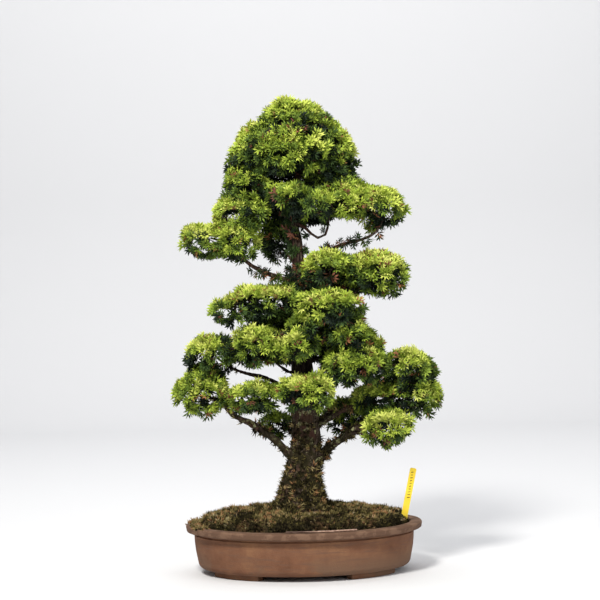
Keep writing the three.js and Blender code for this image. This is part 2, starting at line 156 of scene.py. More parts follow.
def move_corners(mesh, places):
    mesh.vertices.foreach_set("co", np.asarray(places, float).ravel())
    mesh.update()


def clamped(value, low=0.0, high=1.0):
    return max(low, min(high, value))


def swell(place, size):
    """Rounded lumps with creases between them, from 0 in a crease to 1 on a lump."""
    near = noise.voronoi(place / size)[0][0]
    return max(0.0, 1 - near ** 1.6)


# ---- material tools

class Nodes:
    """Adds and joins the nodes of one tree."""

    def __init__(self, tree):
        self.tree = tree

    def add(self, kind, inputs=(), **settings):
        """A node with its settings, and with values or other nodes' outputs for its inputs."""
        node = self.tree.nodes.new(kind)
        for name, value in settings.items():
            setattr(node, name, value)
        for name, value in dict(inputs).items():
            self.give(node.inputs[name], value)
        return node

    def give(self, target, value):
        if isinstance(value, bpy.types.NodeSocket):
            self.tree.links.new(value, target)
        else:
            target.default_value = value

    def ramp(self, source, stops):
        node = self.add("ShaderNodeValToRGB", {"Fac": source})
        elements = node.color_ramp.elements
        elements[0].position, elements[0].color = stops[0][0], (*stops[0][1], 1)
        elements[1].position, elements[1].color = stops[-1][0], (*stops[-1][1], 1)
        for position, colour in stops[1:-1]:
            elements.new(position).color = (*colour, 1)
        return node.outputs["Color"]

    def mix(self, factor, first, second):
        node = self.add("ShaderNodeMix", data_type="RGBA")
        for socket, value in ((0, factor), (6, first), (7, second)):
            self.give(node.inputs[socket], (*value, 1) if isinstance(value, tuple) else value)
        return node.outputs[2]

    def noise(self, vector, scale, detail=3.0, roughness=0.55):
        node = self.add("ShaderNodeTexNoise", {
            "Scale": scale, "Detail": detail, "Roughness": roughness, "Vector": vector,
        })
        return node.outputs["Fac"]

    def band(self, value, low, high, reverse=False):
        """0 to 1 as a value goes from low to high."""
        node = self.add("ShaderNodeMapRange", {
            "From Min": low, "From Max": high, "To Min": float(reverse), "To Max": float(not reverse),
            "Value": value,
        }, interpolation_type="SMOOTHSTEP")
        return node.outputs["Result"]

    def math(self, operation, first, second):
        return self.add("ShaderNodeMath", {0: first, 1: second}, operation=operation).outputs[0]

    def place(self):
        return self.add("ShaderNodeTexCoord").outputs["Object"]

    def stretched(self, vector, scale):
        return self.add("ShaderNodeMapping", {"Scale": scale, "Vector": vector}).outputs["Vector"]

    def hue_and_length(self):
        """A leaf's hue and how far along it a spot is, from the map's U and V."""
        spot = self.add("ShaderNodeUVMap", uv_map="OFBake").outputs["UV"]
        parts = self.add("ShaderNodeSeparateXYZ", {"Vector": spot})
        return parts.outputs["X"], parts.outputs["Y"]

    def axis(self, vector, name):
        return self.add("ShaderNodeSeparateXYZ", {"Vector": vector}).outputs[name]


class Finish(Nodes):
    """The nodes of one material with one shader."""

    def __init__(self, name, base, roughness, specular, metallic=0.0):
        self.material = bpy.data.materials.new(name)
        self.material.use_nodes = True
        super().__init__(self.material.node_tree)
        self.shader = self.tree.nodes["Principled BSDF"]
        for socket, value in (
            ("Base Color", (*base, 1)), ("Roughness", roughness), ("Specular IOR Level", specular),
            ("Metallic", metallic),
        ):
            self.give(self.shader.inputs[socket], value)

    def surface(self, colour, height=None, strength=0.0, distance=0.0):
        """Joins a colour and a fine relief to the shader, and returns the material."""
        self.give(self.shader.inputs["Base Color"], colour)
        if height is not None:
            bump = self.add("ShaderNodeBump", {
                "Strength": strength, "Distance": distance, "Height": height,
            })
            self.give(self.shader.inputs["Normal"], bump.outputs["Normal"])
        return self.material


def add_sockets(tree, **inputs):
    for name, kind in inputs.items():
        tree.interface.new_socket(
            name.replace("_", " "), in_out="INPUT", socket_type="NodeSocket" + kind,
        )


def patches_group():
    """Soft patches of one growth or stain over another finish, broken up by a finer grain."""
    tree = bpy.data.node_groups.new("Patches", "ShaderNodeTree")
    add_sockets(
        tree, Vector="Vector", Patch_scale="Float", Grain_scale="Float", Cover="Float", Grain="Float",
    )
    tree.interface.new_socket("Mask", in_out="OUTPUT", socket_type="NodeSocketFloat")
    nodes = Nodes(tree)
    given = nodes.add("NodeGroupInput").outputs
    broad = nodes.add("ShaderNodeTexNoise", {
        "Detail": 3.0, "Vector": given["Vector"], "Scale": given["Patch scale"],
    })
    fine = nodes.add("ShaderNodeTexNoise", {
        "Detail": 2.0, "Vector": given["Vector"], "Scale": given["Grain scale"],
    })
    grain = nodes.math("MULTIPLY", fine.outputs["Fac"], given["Grain"])
    total = nodes.math("ADD", broad.outputs["Fac"], grain)
    edge = nodes.math("SUBTRACT", 1.12, given["Cover"])
    rest = nodes.math("SUBTRACT", total, edge)
    nodes.add("NodeGroupOutput", {"Mask": nodes.band(rest, -0.06, 0.06)})
    return tree


PATCHES = patches_group()


def patches(nodes, vector, patch_scale, grain_scale, cover, grain=0.3):
    node = nodes.add("ShaderNodeGroup", {
        "Vector": vector, "Patch scale": patch_scale, "Grain scale": grain_scale, "Cover": cover,
        "Grain": grain,
    }, node_tree=PATCHES)
    return node.outputs["Mask"]


# ---- materials

def stoneware():
    """Unglazed brown clay: ochre and red-brown mottling, a paler worn lip and dark smudges low down."""
    nodes = Finish("stoneware", (0.2, 0.12, 0.07), 0.86, 0.2)
    place = nodes.place()
    height = nodes.axis(place, "Z")
    clay = nodes.ramp(nodes.noise(place, 14, 6, 0.62), [
        (0.3, (0.113, 0.048, 0.026)), (0.48, (0.172, 0.078, 0.042)),
        (0.62, (0.22, 0.108, 0.055)), (0.75, (0.2, 0.077, 0.041)),
    ])
    streaks = nodes.noise(nodes.stretched(place, (6, 6, 60)), 4, 4)
    clay = nodes.mix(nodes.band(streaks, 0.45, 0.75), clay, (0.14, 0.073, 0.046))
    smudge = patches(nodes, place, 9, 120, 0.5, 0.25)
    low = nodes.band(height, 0.015, 0.06, reverse=True)
    clay = nodes.mix(nodes.math("MULTIPLY", smudge, low), clay, (0.15, 0.085, 0.052))
    lip = nodes.band(height, RIM - 0.0165, RIM - 0.013)
    worn = patches(nodes, place, 45, 260, 0.46, 0.3)
    lip_clay = nodes.mix(nodes.math("MULTIPLY", worn, 0.6), (0.112, 0.061, 0.038), (0.2, 0.118, 0.075))
    clay = nodes.mix(lip, clay, lip_clay)
    specks = nodes.band(nodes.noise(place, 900, 1), 0.66, 0.74)
    clay = nodes.mix(nodes.math("MULTIPLY", specks, 0.55), clay, (0.045, 0.03, 0.022))
    grit = nodes.math("ADD", nodes.noise(place, 420, 3), nodes.noise(place, 60, 3))
    return nodes.surface(clay, grit, 0.4, 0.0014)


def bark():
    """Grey-brown bark, redder in its fissures, with moss at the foot and pale lichen above it."""
    nodes = Finish("bark", (0.1, 0.07, 0.05), 0.95, 0.1)
    place = nodes.place()
    height = nodes.axis(place, "Z")
    fissure = nodes.noise(nodes.stretched(place, (1, 1, 0.22)), 260, 5, 0.6)
    wood = nodes.ramp(fissure, [
        (0.36, (0.007, 0.004, 0.004)), (0.47, (0.034, 0.021, 0.016)),
        (0.58, (0.085, 0.06, 0.044)), (0.72, (0.23, 0.185, 0.138)),
    ])
    red = patches(nodes, place, 18, 180, 0.42, 0.3)
    wood = nodes.mix(nodes.math("MULTIPLY", red, 0.6), wood, (0.075, 0.033, 0.023))
    lichen = patches(nodes, place, 100, 560, 0.36, 0.3)
    belt = nodes.math(
        "MULTIPLY", nodes.band(height, 0.17, 0.24), nodes.band(height, 0.29, 0.42, reverse=True),
    )
    wood = nodes.mix(nodes.math("MULTIPLY", lichen, belt), wood, (0.3, 0.3, 0.15))
    # Painted shade of the crown, darkening the upper trunk.
    crown_shade = nodes.math(
        "MULTIPLY", nodes.band(height, 0.3, 0.37), nodes.band(height, 0.46, 0.56, reverse=True),
    )
    wood = nodes.mix(nodes.math("MULTIPLY", crown_shade, 0.7), wood, (0.01, 0.007, 0.008))
    moss = patches(nodes, place, 42, 350, 0.45, 0.45)
    foot = nodes.band(height, 0.2, 0.38, reverse=True)
    wood = nodes.mix(nodes.math("MULTIPLY", moss, foot), wood, (0.02, 0.017, 0.007))
    ridges = nodes.math("ADD", fissure, nodes.noise(place, 900, 2))
    return nodes.surface(wood, ridges, 0.8, 0.0016)


def leaf_scales():
    """Scale leaves: a spray's hue runs along the map's U, and root to tip along its V."""
    nodes = Finish("cypress_leaf", (0.1, 0.2, 0.03), 0.6, 0.2)
    hue, along = nodes.hue_and_length()
    # The ramp's dark low end shows the painted shade that the guides put into the hue, and its bright
    # live end shows their painted light. Both ends also show the leaves' own tones.
    tip = nodes.ramp(hue, [
        (0.0, (0.008, 0.016, 0.01)), (0.18, (0.045, 0.085, 0.015)), (0.4, (0.195, 0.28, 0.034)),
        (0.6, (0.35, 0.45, 0.045)), (0.8, (0.54, 0.62, 0.095)), (0.9, (0.64, 0.67, 0.16)),
        (0.92, (0.085, 0.03, 0.034)), (0.96, (0.23, 0.085, 0.04)), (1.0, (0.48, 0.23, 0.075)),
    ])
    root = nodes.ramp(hue, [
        (0.0, (0.004, 0.008, 0.006)), (0.3, (0.022, 0.045, 0.009)), (0.6, (0.11, 0.175, 0.018)),
        (0.9, (0.21, 0.27, 0.03)), (0.92, (0.08, 0.03, 0.02)), (1.0, (0.13, 0.055, 0.028)),
    ])
    colour = nodes.mix(nodes.band(along, 0.15, 0.95), root, tip)
    return nodes.surface(colour)


def moss_leaf():
    """Short moss: green and brown-green sprigs with dry orange-brown ones, by the map's U."""
    nodes = Finish("moss", (0.08, 0.08, 0.02), 0.95, 0.05)
    hue, along = nodes.hue_and_length()
    tip = nodes.ramp(hue, [
        (0.0, (0.01, 0.007, 0.004)), (0.3, (0.042, 0.036, 0.013)), (0.58, (0.185, 0.15, 0.052)),
        (0.78, (0.4, 0.31, 0.14)), (0.9, (0.42, 0.2, 0.09)), (1.0, (0.62, 0.56, 0.33)),
    ])
    colour = nodes.mix(nodes.band(along, 0.0, 0.7), (0.012, 0.009, 0.005), tip)
    return nodes.surface(colour)


def moss_ground():
    """The close dark felt that the moss sprigs stand in."""
    nodes = Finish("moss_felt", (0.05, 0.04, 0.015), 0.95, 0.1)
    place = nodes.place()
    felt = nodes.ramp(nodes.noise(place, 220, 4, 0.6), [
        (0.32, (0.006, 0.005, 0.003)), (0.5, (0.022, 0.017, 0.008)), (0.7, (0.06, 0.05, 0.02)),
    ])
    dry = patches(nodes, place, 16, 200, 0.4, 0.3)
    felt = nodes.mix(nodes.math("MULTIPLY", dry, 0.7), felt, (0.07, 0.038, 0.018))
    return nodes.surface(felt, nodes.noise(place, 500, 3), 0.9, 0.0015)


def soil_grit():
    nodes = Finish("soil", (0.04, 0.028, 0.018), 0.95, 0.15)
    place = nodes.place()
    grit = nodes.add("ShaderNodeTexVoronoi", {"Scale": 260.0, "Vector": place})
    colour = nodes.ramp(grit.outputs["Distance"], [
        (0.1, (0.075, 0.05, 0.032)), (0.5, (0.035, 0.024, 0.016)), (0.9, (0.012, 0.009, 0.006)),
    ])
    return nodes.surface(colour, grit.outputs["Distance"], 0.8, 0.002)


def label_plastic():
    """Matt yellow plastic, a little faded and soiled towards the ground."""
    nodes = Finish("label_plastic", (0.85, 0.62, 0.03), 0.42, 0.45)
    place = nodes.place()
    faded = nodes.ramp(nodes.noise(place, 60, 3), [
        (0.35, (0.8, 0.56, 0.02)), (0.7, (0.9, 0.68, 0.05)),
    ])
    soiled = nodes.band(nodes.axis(place, "Z"), RIM - 0.005, RIM + 0.025, reverse=True)
    grime = nodes.math("MULTIPLY", soiled, nodes.noise(place, 300, 3))
    colour = nodes.mix(grime, faded, (0.3, 0.2, 0.06))
    return nodes.surface(colour, nodes.noise(place, 700, 2), 0.15, 0.0004)


def mottled(nodes, scale, detail, stops):
    return nodes.surface(nodes.ramp(nodes.noise(nodes.place(), scale, detail), stops))


def pencil():
    return mottled(Finish("pencil", (0.06, 0.05, 0.03), 0.7, 0.3), 900, 2, [
        (0.35, (0.02, 0.016, 0.012)), (0.7, (0.09, 0.065, 0.025)),
    ])


def dry_twig():
    nodes = Finish("dry_twig", (0.3, 0.22, 0.15), 0.85, 0.2)
    place = nodes.place()
    grain = nodes.noise(nodes.stretched(place, (0.25, 1, 1)), 420, 4)
    colour = nodes.ramp(grain, [
        (0.35, (0.17, 0.095, 0.07)), (0.55, (0.4, 0.26, 0.195)), (0.75, (0.56, 0.42, 0.33)),
    ])
    damp = nodes.band(nodes.axis(place, "X"), -0.02, 0.03, reverse=True)
    colour = nodes.mix(nodes.math("MULTIPLY", damp, 0.8), colour, (0.04, 0.022, 0.018))
    return nodes.surface(colour, grain, 0.7, 0.0008)


def screen_plastic():
    return mottled(Finish("screen_plastic", (0.012, 0.016, 0.012), 0.45, 0.4), 160, 3, [
        (0.4, (0.01, 0.014, 0.01)), (0.8, (0.045, 0.04, 0.03)),
    ])


def clip_wire():
    return mottled(Finish("clip_wire", (0.4, 0.37, 0.33), 0.4, 0.5, metallic=1.0), 240, 3, [
        (0.35, (0.26, 0.23, 0.2)), (0.7, (0.48, 0.45, 0.41)),
    ])


STONEWARE = stoneware()
BARK = bark()
LEAF = leaf_scales()
MOSS = moss_leaf()
FELT = moss_ground()


# ---- the pot

POT_SIDES = 180
LIP_TALL = 17 * MM
LIP_OUT = 16 * MM
WALL = 9 * MM
WALL_TAPER = 7 * MM   # the outside is this much further in at its foot than under the lip
BASE_ROUND = 14 * MM
GROOVE = 2.4 * MM
LIP_EDGE_ROUND = 3 * MM
LIP_TOP_ROUND = 4 * MM
MOUTH_ROUND = 5 * MM
INSIDE_ROUND = 10 * MM
FLOOR = 9 * MM
FOOT_TALL = 10 * MM
FOOT_WIDE = 22 * MM
FOOT_SPAN = 38        # degrees of the oval
HOLE_RADIUS = 14 * MM
HOLE_FROM_MIDDLE = 0.11


def arc(centre, radius, start, end, steps):
    """Points of a round stretch of a profile, from one angle in degrees to another."""
    turns = [math.radians(start + (end - start) * i / steps) for i in range(steps + 1)]
    return [(centre[0] + radius * math.cos(t), centre[1] + radius * math.sin(t)) for t in turns]


def pot_profile():
    """Half length and height of the pot's section, from the underside's middle to the floor's."""
    lip = POT_HALF_LENGTH
    wall = lip - LIP_OUT
    base = wall - WALL_TAPER
    lip_bottom = RIM - LIP_TALL
    inside = wall - WALL
    inside_base = base - WALL
    turn = BASE_ROUND
    points = [(0.05 * lip, FOOT_TALL), (0.5 * lip, FOOT_TALL)]
    points += arc((base - turn, FOOT_TALL + turn), turn, -90, -4, 10)
    rise = lip_bottom - FOOT_TALL - turn
    for share in (0.12, 0.3, 0.5, 0.7, 0.86, 0.95):
        belly = 1.6 * MM * math.sin(math.pi * share)
        points.append((base + (wall - base) * share + belly, FOOT_TALL + turn + rise * share))
    points += [
        (wall, lip_bottom - GROOVE), (wall - GROOVE, lip_bottom - 2 * MM), (wall - GROOVE, lip_bottom),
        (wall + 3 * MM, lip_bottom + 2.2 * MM),
    ]
    edge = (lip - 1 * MM - LIP_EDGE_ROUND, lip_bottom + 4 * MM + LIP_EDGE_ROUND)
    points += arc(edge, LIP_EDGE_ROUND, -80, 5, 6)
    points += arc((lip - LIP_TOP_ROUND, RIM - LIP_TOP_ROUND), LIP_TOP_ROUND, -5, 88, 8)
    points += arc((inside + MOUTH_ROUND, RIM - MOUTH_ROUND), MOUTH_ROUND, 95, 175, 6)
    points += [(inside, RIM - 14 * MM), ((inside + inside_base) / 2, (RIM + FOOT_TALL) / 2)]
    floor = FOOT_TALL + FLOOR
    points += [(inside_base, floor + INSIDE_ROUND)]
    points += arc((inside_base - INSIDE_ROUND, floor + INSIDE_ROUND), INSIDE_ROUND, -10, -90, 5)
    points += [(0.5 * lip, floor), (0.05 * lip, floor)]
    return points


def oval_depth(r):
    """Half the pot's width where its half length is r, with a wall of one thickness."""
    narrower = POT_HALF_LENGTH - POT_HALF_WIDTH
    inner = POT_HALF_LENGTH - LIP_OUT - WALL - WALL_TAPER
    return r - narrower if r > inner else r * (inner - narrower) / inner


def oval_point(r, turn, z):
    return Vector((POT_CENTRE.x + r * math.cos(turn), POT_CENTRE.y + oval_depth(r) * math.sin(turn), z))


def between_rings(a, b, sides):
    """Faces between two rings of corners, the first at a and the second at b."""
    ends = [(i, (i + 1) % sides) for i in range(sides)]
    return [(a + i, a + j, b + j, b + i) for i, j in ends]


def oval_skin(profile):
    """Closed skin of an oval turned piece, with a centre point at each end of its profile."""
    points, faces = [], []
    for r, z in profile:
        points += [oval_point(r, 2 * math.pi * i / POT_SIDES, z) for i in range(POT_SIDES)]
    for ring in range(len(profile) - 1):
        faces += between_rings(ring * POT_SIDES, (ring + 1) * POT_SIDES, POT_SIDES)
    low, high = len(points), len(points) + 1
    points += [oval_point(0, 0, profile[0][1]), oval_point(0, 0, profile[-1][1])]
    last = (len(profile) - 1) * POT_SIDES
    for i in range(POT_SIDES):
        j = (i + 1) % POT_SIDES
        faces.append((low, j, i))
        faces.append((high, last + i, last + j))
    return points, faces


def oval_block(outer, inner, start, end, low, high, steps=14):
    """A curved block, a stretch of an oval ring: one foot of the pot."""
    points, faces = [], []
    bevel = 1.5 * MM
    section = [
        (inner + bevel, low), (outer - bevel, low), (outer, low + bevel), (outer, high),
        (inner, high), (inner, low + bevel),
    ]
    for i in range(steps + 1):
        turn = math.radians(start + (end - start) * i / steps)
        points += [oval_point(r, turn, z) for r, z in section]
    n = len(section)
    for i in range(steps):
        for k in range(n):
            a, b = i * n, (i + 1) * n
            j = (k + 1) % n
            faces.append((a + k, b + k, b + j, a + j))
    faces.append(tuple(range(n)))
    faces.append(tuple(steps * n + k for k in reversed(range(n))))
    return new_piece("foot", mesh_of("foot", points, faces))


def outward(mesh):
    """Turns a closed mesh's faces to face out."""
    bm = bmesh.new()
    bm.from_mesh(mesh)
    bmesh.ops.recalc_face_normals(bm, faces=bm.faces)
    bm.to_mesh(mesh)
    bm.free()


def with_boolean(piece, other, operation):
    outward(other.data)
    cut = piece.modifiers.new("fit", "BOOLEAN")
    cut.operation = operation
    cut.solver = "EXACT"
    cut.object = other
    mesh = applied(piece, "stoneware_pot")
    bpy.data.objects.remove(other)
    return new_piece("stoneware_pot", mesh)


def drain_hole(x):
    bm = bmesh.new()
    bmesh.ops.create_cone(
        bm, cap_ends=True, segments=48, radius1=HOLE_RADIUS, radius2=HOLE_RADIUS, depth=60 * MM,
        matrix=Matrix.Translation((x, POT_CENTRE.y, FOOT_TALL)),
    )
    return new_piece("hole", mesh_from(bm, "hole"))


def make_pot():
    points, faces = oval_skin(pot_profile())
    pot = new_piece("stoneware_pot", mesh_of("stoneware_pot", points, faces))
    outward(pot.data)
    outer = POT_HALF_LENGTH - LIP_OUT - WALL_TAPER - BASE_ROUND - 4 * MM
    for quarter in range(4):
        start = quarter * 90 + (28 if quarter % 2 else 24)
        foot = oval_block(outer, outer - FOOT_WIDE, start, start + FOOT_SPAN, 0, FOOT_TALL + 4 * MM)
        pot = with_boolean(pot, foot, "UNION")
    for side in (-1, 1):
        pot = with_boolean(pot, drain_hole(POT_CENTRE.x + side * HOLE_FROM_MIDDLE), "DIFFERENCE")
    places, normals = corners_and_normals(pot.data)
    for i, p in enumerate(places):
        if p[2] < FOOT_TALL + 2 * MM:
            continue
        spot = Vector(p)
        uneven = 0.55 * MM * noise.noise(spot * 22) + 0.22 * MM * noise.noise(spot * 90)
        if p[2] > RIM - LIP_TALL:
            chip = noise.noise(spot * 55 + Vector((3, 1, 7)))
            uneven -= 1.6 * MM * max(0.0, chip - 0.42)
        places[i] = p + normals[i] * uneven
    move_corners(pot.data, places)
    painted(pot, STONEWARE)
    pot.data.shade_smooth()
    pot.data.set_sharp_from_angle(angle=math.radians(40))
    return shown(pot, "stoneware", "pot")


# ---- wood

def closed_up():
    """The wood's solids, with each bough's root pushed into the trunk so that they grow together."""
    trunk = tree_over(["trunk"])
    bm = cad_mesh(["trunk"])
    for name in WOOD_NODES:
        if name == "trunk":
            continue
        part = cad_mesh([name])
        for v in part.verts:
            hit, normal, _, _ = trunk.find_nearest(v.co, 1.2 * MM)
            if hit is not None:
                v.co -= normal * 3 * MM
        mesh = mesh_from(part, "part")
        bm.from_mesh(mesh)
        bpy.data.meshes.remove(mesh)
    return bm


def make_wood():
    """Trunk and boughs as one grown skin with fissured bark."""
    mesh = remeshed(closed_up(), "bark", voxel=1.75 * MM, smoothing=5)
    places, normals = corners_and_normals(mesh)
    for i, p in enumerate(places):
        spot = Vector(p)
        low = clamped((0.55 - p[2]) / 0.4)
        furrow = noise.noise(Vector((p[0] * 170, p[1] * 170, p[2] * 34)))
        knob = noise.noise(spot * 60)
        lump = noise.noise(spot * 24 + Vector((5, 2, 1)))
        depth = (0.35 + 0.95 * low) * MM * furrow + (0.3 + 0.9 * low) * MM * knob
        depth += (0.4 + 2.2 * low) * MM * lump
        foot = max(0.0, 1 - max(0.0, p[2] - moss_high.z + 0.01) / 0.11) if p[2] > RIM - 0.02 else 0.0
        depth += foot ** 1.5 * (5 + 14 * swell(spot, 34 * MM)) * MM
        places[i] = p + normals[i] * depth
    move_corners(mesh, places)
    mesh.shade_smooth()
    return shown(new_piece("bark_wood", mesh, BARK), "bark", *WOOD_NODES)


# ---- foliage

STEM = 19.0 * MM
FINGER = 11.0 * MM
FINGER_PAIRS = 2
BLADE_WIDE = 3.3 * MM
HUE_STEP = 0.004      # how far in U the corners of one shape lie from each other


def leaf_shape(name, points, faces, along, stride):
    """Closed flat blades whose map holds a small sideways step in U and root to tip in V."""
    mesh = mesh_of(name, points, faces, smooth=False)
    outward(mesh)
    layer = mesh.uv_layers.new(name="OFBake")
    for loop in mesh.loops:
        index = loop.vertex_index
        layer.uv[loop.index].vector = (HUE_STEP * ((index * stride) % 3 - 1), along[index])
    return mesh


def leaf_spray(name, seed):
    """A flat fan of scale leaves in XZ: a stem along +Z with pairs of side fingers."""
    rng = random.Random(seed)
    points, faces, along = [], [], []

    def blade(start, direction, size, wide, share):
        direction = direction.normalized()
        side = Vector((direction.z, 0, -direction.x))
        thick = Vector((0, 1, 0)) * 0.5 * MM
        middle = start + direction * size * 0.55
        tip = start + direction * size + Vector((0, -1, 0)) * size * 0.16
        first = len(points)
        points.extend([start, tip, middle + side * wide / 2, middle + thick, middle - side * wide / 2])
        for a, b in ((2, 3), (3, 4), (4, 2)):
            faces.append((first, first + b, first + a))
            faces.append((first + 1, first + a, first + b))
        along.extend([share, min(1.0, share + 0.55)] + [min(1.0, share + 0.28)] * 3)

    for step in range(FINGER_PAIRS):
        share = (step + 0.6) / (FINGER_PAIRS + 0.5)
        base = Vector((0, 0, STEM * share * 0.72))
        for side in (-1, 1):
            lean = math.radians(58 - 26 * share + rng.uniform(-9, 9)) * side
            direction = Vector((math.sin(lean), rng.uniform(-0.12, 0.12), math.cos(lean)))
            size = FINGER * (1.15 - 0.35 * share) * rng.uniform(0.85, 1.15)
            blade(base, direction, size, BLADE_WIDE, 0.15 + 0.45 * share)
    blade(Vector((0, 0, 0)), Vector((rng.uniform(-0.08, 0.08), 0, 1)), STEM, BLADE_WIDE * 1.1, 0.3)
    return leaf_shape(name, points, faces, along, 7)


def moss_sprig(name, seed):
    """A tiny tuft of moss: four pointed closed leaves from one foot."""
    rng = random.Random(seed)
    points, faces, along = [], [], []
    for k in range(4):
        turn = 2 * math.pi * (k + rng.uniform(-0.2, 0.2)) / 4
        lean = rng.uniform(0.35, 0.8)
        way = Vector((math.cos(turn) * lean, math.sin(turn) * lean, 1)).normalized()
        tall = rng.uniform(3.2, 5.0) * MM
        across = Vector((-math.sin(turn), math.cos(turn), 0)) * 0.65 * MM
        first = len(points)
        points += [across, -across, way * tall * 0.3 - Vector((0, 0, 1)) * 0.5 * MM, way * tall]
        faces += [(first, first + 3, first + 1), (first + 1, first + 3, first + 2),
                  (first + 2, first + 3, first), (first, first + 1, first + 2)]
        along += [0.0, 0.0, 0.2, 1.0]
    return leaf_shape(name, points, faces, along, 5)


def kept_shapes(name, meshes):
    """A collection of shapes for Geometry Nodes to pick from, outside the scene."""
    collection = bpy.data.collections.new(name)
    for mesh in meshes:
        collection.objects.link(bpy.data.objects.new(mesh.name, mesh))
    return collection


DENSEST = 250000.0    # tufts to a square metre, before their spacing thins them
LIVE_LOW, LIVE_HIGH = 0.01, 0.89  # the stretch of hues that live leaves have, and then dead ones
DEAD_LOW, DEAD_HIGH = 0.93, 0.99


def tuft_scatter():
    """Geometry Nodes: tufts over a surface, each a whorl of sprays that lean out from its middle."""
    tree = bpy.data.node_groups.new("Tufts of sprays", "GeometryNodeTree")
    add_sockets(
        tree, Geometry="Geometry", Sprays="Collection", Material="Material", Spacing="Float",
        Sprays_per_tuft="Int", Lean_least="Float", Lean_most="Float", Upward="Float",
        Size_least="Float", Size_most="Float", Seed="Int", Hue_spread="Float", Dead_share="Float",
    )
    tree.interface.new_socket("Geometry", in_out="OUTPUT", socket_type="NodeSocketGeometry")
    nodes = Nodes(tree)
    given = nodes.add("NodeGroupInput").outputs

    def read(name, kind="FLOAT"):
        node = nodes.add("GeometryNodeInputNamedAttribute", {"Name": name}, data_type=kind)
        return node.outputs["Attribute"]

    def kept(geometry, name, value, kind="FLOAT", domain="POINT"):
        node = nodes.add("GeometryNodeStoreNamedAttribute", {
            "Name": name, "Geometry": geometry, "Value": value,
        }, data_type=kind, domain=domain)
        return node.outputs["Geometry"]

    tufts = nodes.add("GeometryNodeDistributePointsOnFaces", {
        "Mesh": given["Geometry"], "Distance Min": given["Spacing"], "Seed": given["Seed"],
        "Density Max": DENSEST, "Density Factor": read("cover"),
    }, distribute_method="POISSON")
    lift = nodes.add("ShaderNodeVectorMath", {0: (0, 0, 1), "Scale": given["Upward"]}, operation="SCALE")
    axis = nodes.add("ShaderNodeVectorMath", {
        0: tufts.outputs["Normal"], 1: lift.outputs[0],
    }, operation="ADD")
    with_axis = kept(tufts.outputs["Points"], "axis", axis.outputs[0], "FLOAT_VECTOR")

    def chance(low, high, salt):
        node = nodes.add("FunctionNodeRandomValue", {"Seed": salt}, data_type="FLOAT")
        numbers = [s for s in node.inputs if s.enabled and s.name in ("Min", "Max")]
        for socket, value in zip(numbers, (low, high)):
            nodes.give(socket, value)
        return next(s for s in node.outputs if s.enabled)

    step = nodes.math("MULTIPLY", chance(-1.0, 1.0, 23), given["Hue spread"])
    tinted = kept(with_axis, "hue", nodes.math("ADD", read("hue"), step))
    whole = nodes.add("GeometryNodeDuplicateElements", {
        "Geometry": tinted, "Amount": given["Sprays per tuft"],
    }, domain="POINT")
    upright = nodes.add("FunctionNodeAlignRotationToVector", {
        "Vector": read("axis", "FLOAT_VECTOR"),
    }, axis="Z")
    order = nodes.math("ADD", whole.outputs["Duplicate Index"], chance(0.0, 0.8, 3))
    turns = nodes.math("MULTIPLY", order, 2 * math.pi)
    round_turn = nodes.math("DIVIDE", turns, given["Sprays per tuft"])
    lean = chance(given["Lean least"], given["Lean most"], 5)
    roll = chance(-1.2, 1.2, 7)

    def turned(rotation, axis_name, angle):
        euler = nodes.add("ShaderNodeCombineXYZ", {axis_name: angle})
        turn = nodes.add("FunctionNodeEulerToRotation", {"Euler": euler.outputs[0]})
        node = nodes.add("FunctionNodeRotateRotation", {
            "Rotation": rotation, "Rotate By": turn.outputs[0],
        }, rotation_space="LOCAL")
        return node.outputs[0]

    facing = turned(upright.outputs[0], "Z", round_turn)
    facing = turned(facing, "X", lean)
    facing = turned(facing, "Z", roll)
    size = chance(given["Size least"], given["Size most"], 11)
    shapes = nodes.add("GeometryNodeCollectionInfo", {
        "Collection": given["Sprays"], "Separate Children": True, "Reset Children": True,
    })
    placed = nodes.add("GeometryNodeInstanceOnPoints", {
        "Points": whole.outputs["Geometry"], "Instance": shapes.outputs[0], "Pick Instance": True,
        "Rotation": facing, "Scale": size,
    })
    spread = nodes.math("MULTIPLY", chance(-1.0, 1.0, 13), given["Hue spread"])
    live = nodes.add("ShaderNodeClamp", {
        "Min": LIVE_LOW, "Max": LIVE_HIGH, "Value": nodes.math("ADD", read("hue"), spread),
    })
    dead = nodes.math("LESS_THAN", chance(0.0, 1.0, 17), given["Dead share"])
    tint = nodes.add("GeometryNodeSwitch", {
        "Switch": dead, "False": live.outputs[0], "True": chance(DEAD_LOW, DEAD_HIGH, 19),
    }, input_type="FLOAT")
    marked = kept(placed.outputs[0], "tint", tint.outputs[0], domain="INSTANCE")
    real = nodes.add("GeometryNodeRealizeInstances", {"Geometry": marked})
    coloured = nodes.add("GeometryNodeSetMaterial", {
        "Geometry": real.outputs[0], "Material": given["Material"],
    })
    nodes.add("NodeGroupOutput", {"Geometry": coloured.outputs[0]})
    return tree


SCATTER = tuft_scatter()


def scattered(name, guide, **values):
    """The sprays that the scatter grows on a guide surface, as a plain mesh with its hue in its map."""
    grow = guide.modifiers.new("grow", "NODES")
    grow.node_group = SCATTER
    for socket in SCATTER.interface.items_tree:
        if socket.in_out == "INPUT" and socket.name.replace(" ", "_") in values:
            grow[socket.identifier] = values[socket.name.replace(" ", "_")]
    mesh = applied(guide, name)
    tint = np.empty(len(mesh.vertices), np.float32)
    mesh.attributes["tint"].data.foreach_get("value", tint)
    corner = np.empty(len(mesh.loops), np.int32)
    mesh.loops.foreach_get("vertex_index", corner)
    layer = mesh.uv_layers["OFBake"]
    spots = np.empty(len(mesh.loops) * 2, np.float32)
    layer.uv.foreach_get("vector", spots)
    spots = spots.reshape(-1, 2)
    spots[:, 0] += tint[corner]
    layer.uv.foreach_set("vector", spots.ravel())
    for extra in ("tint", "axis", "hue", "cover"):
        if extra in mesh.attributes:
            mesh.attributes.remove(mesh.attributes[extra])
    return mesh


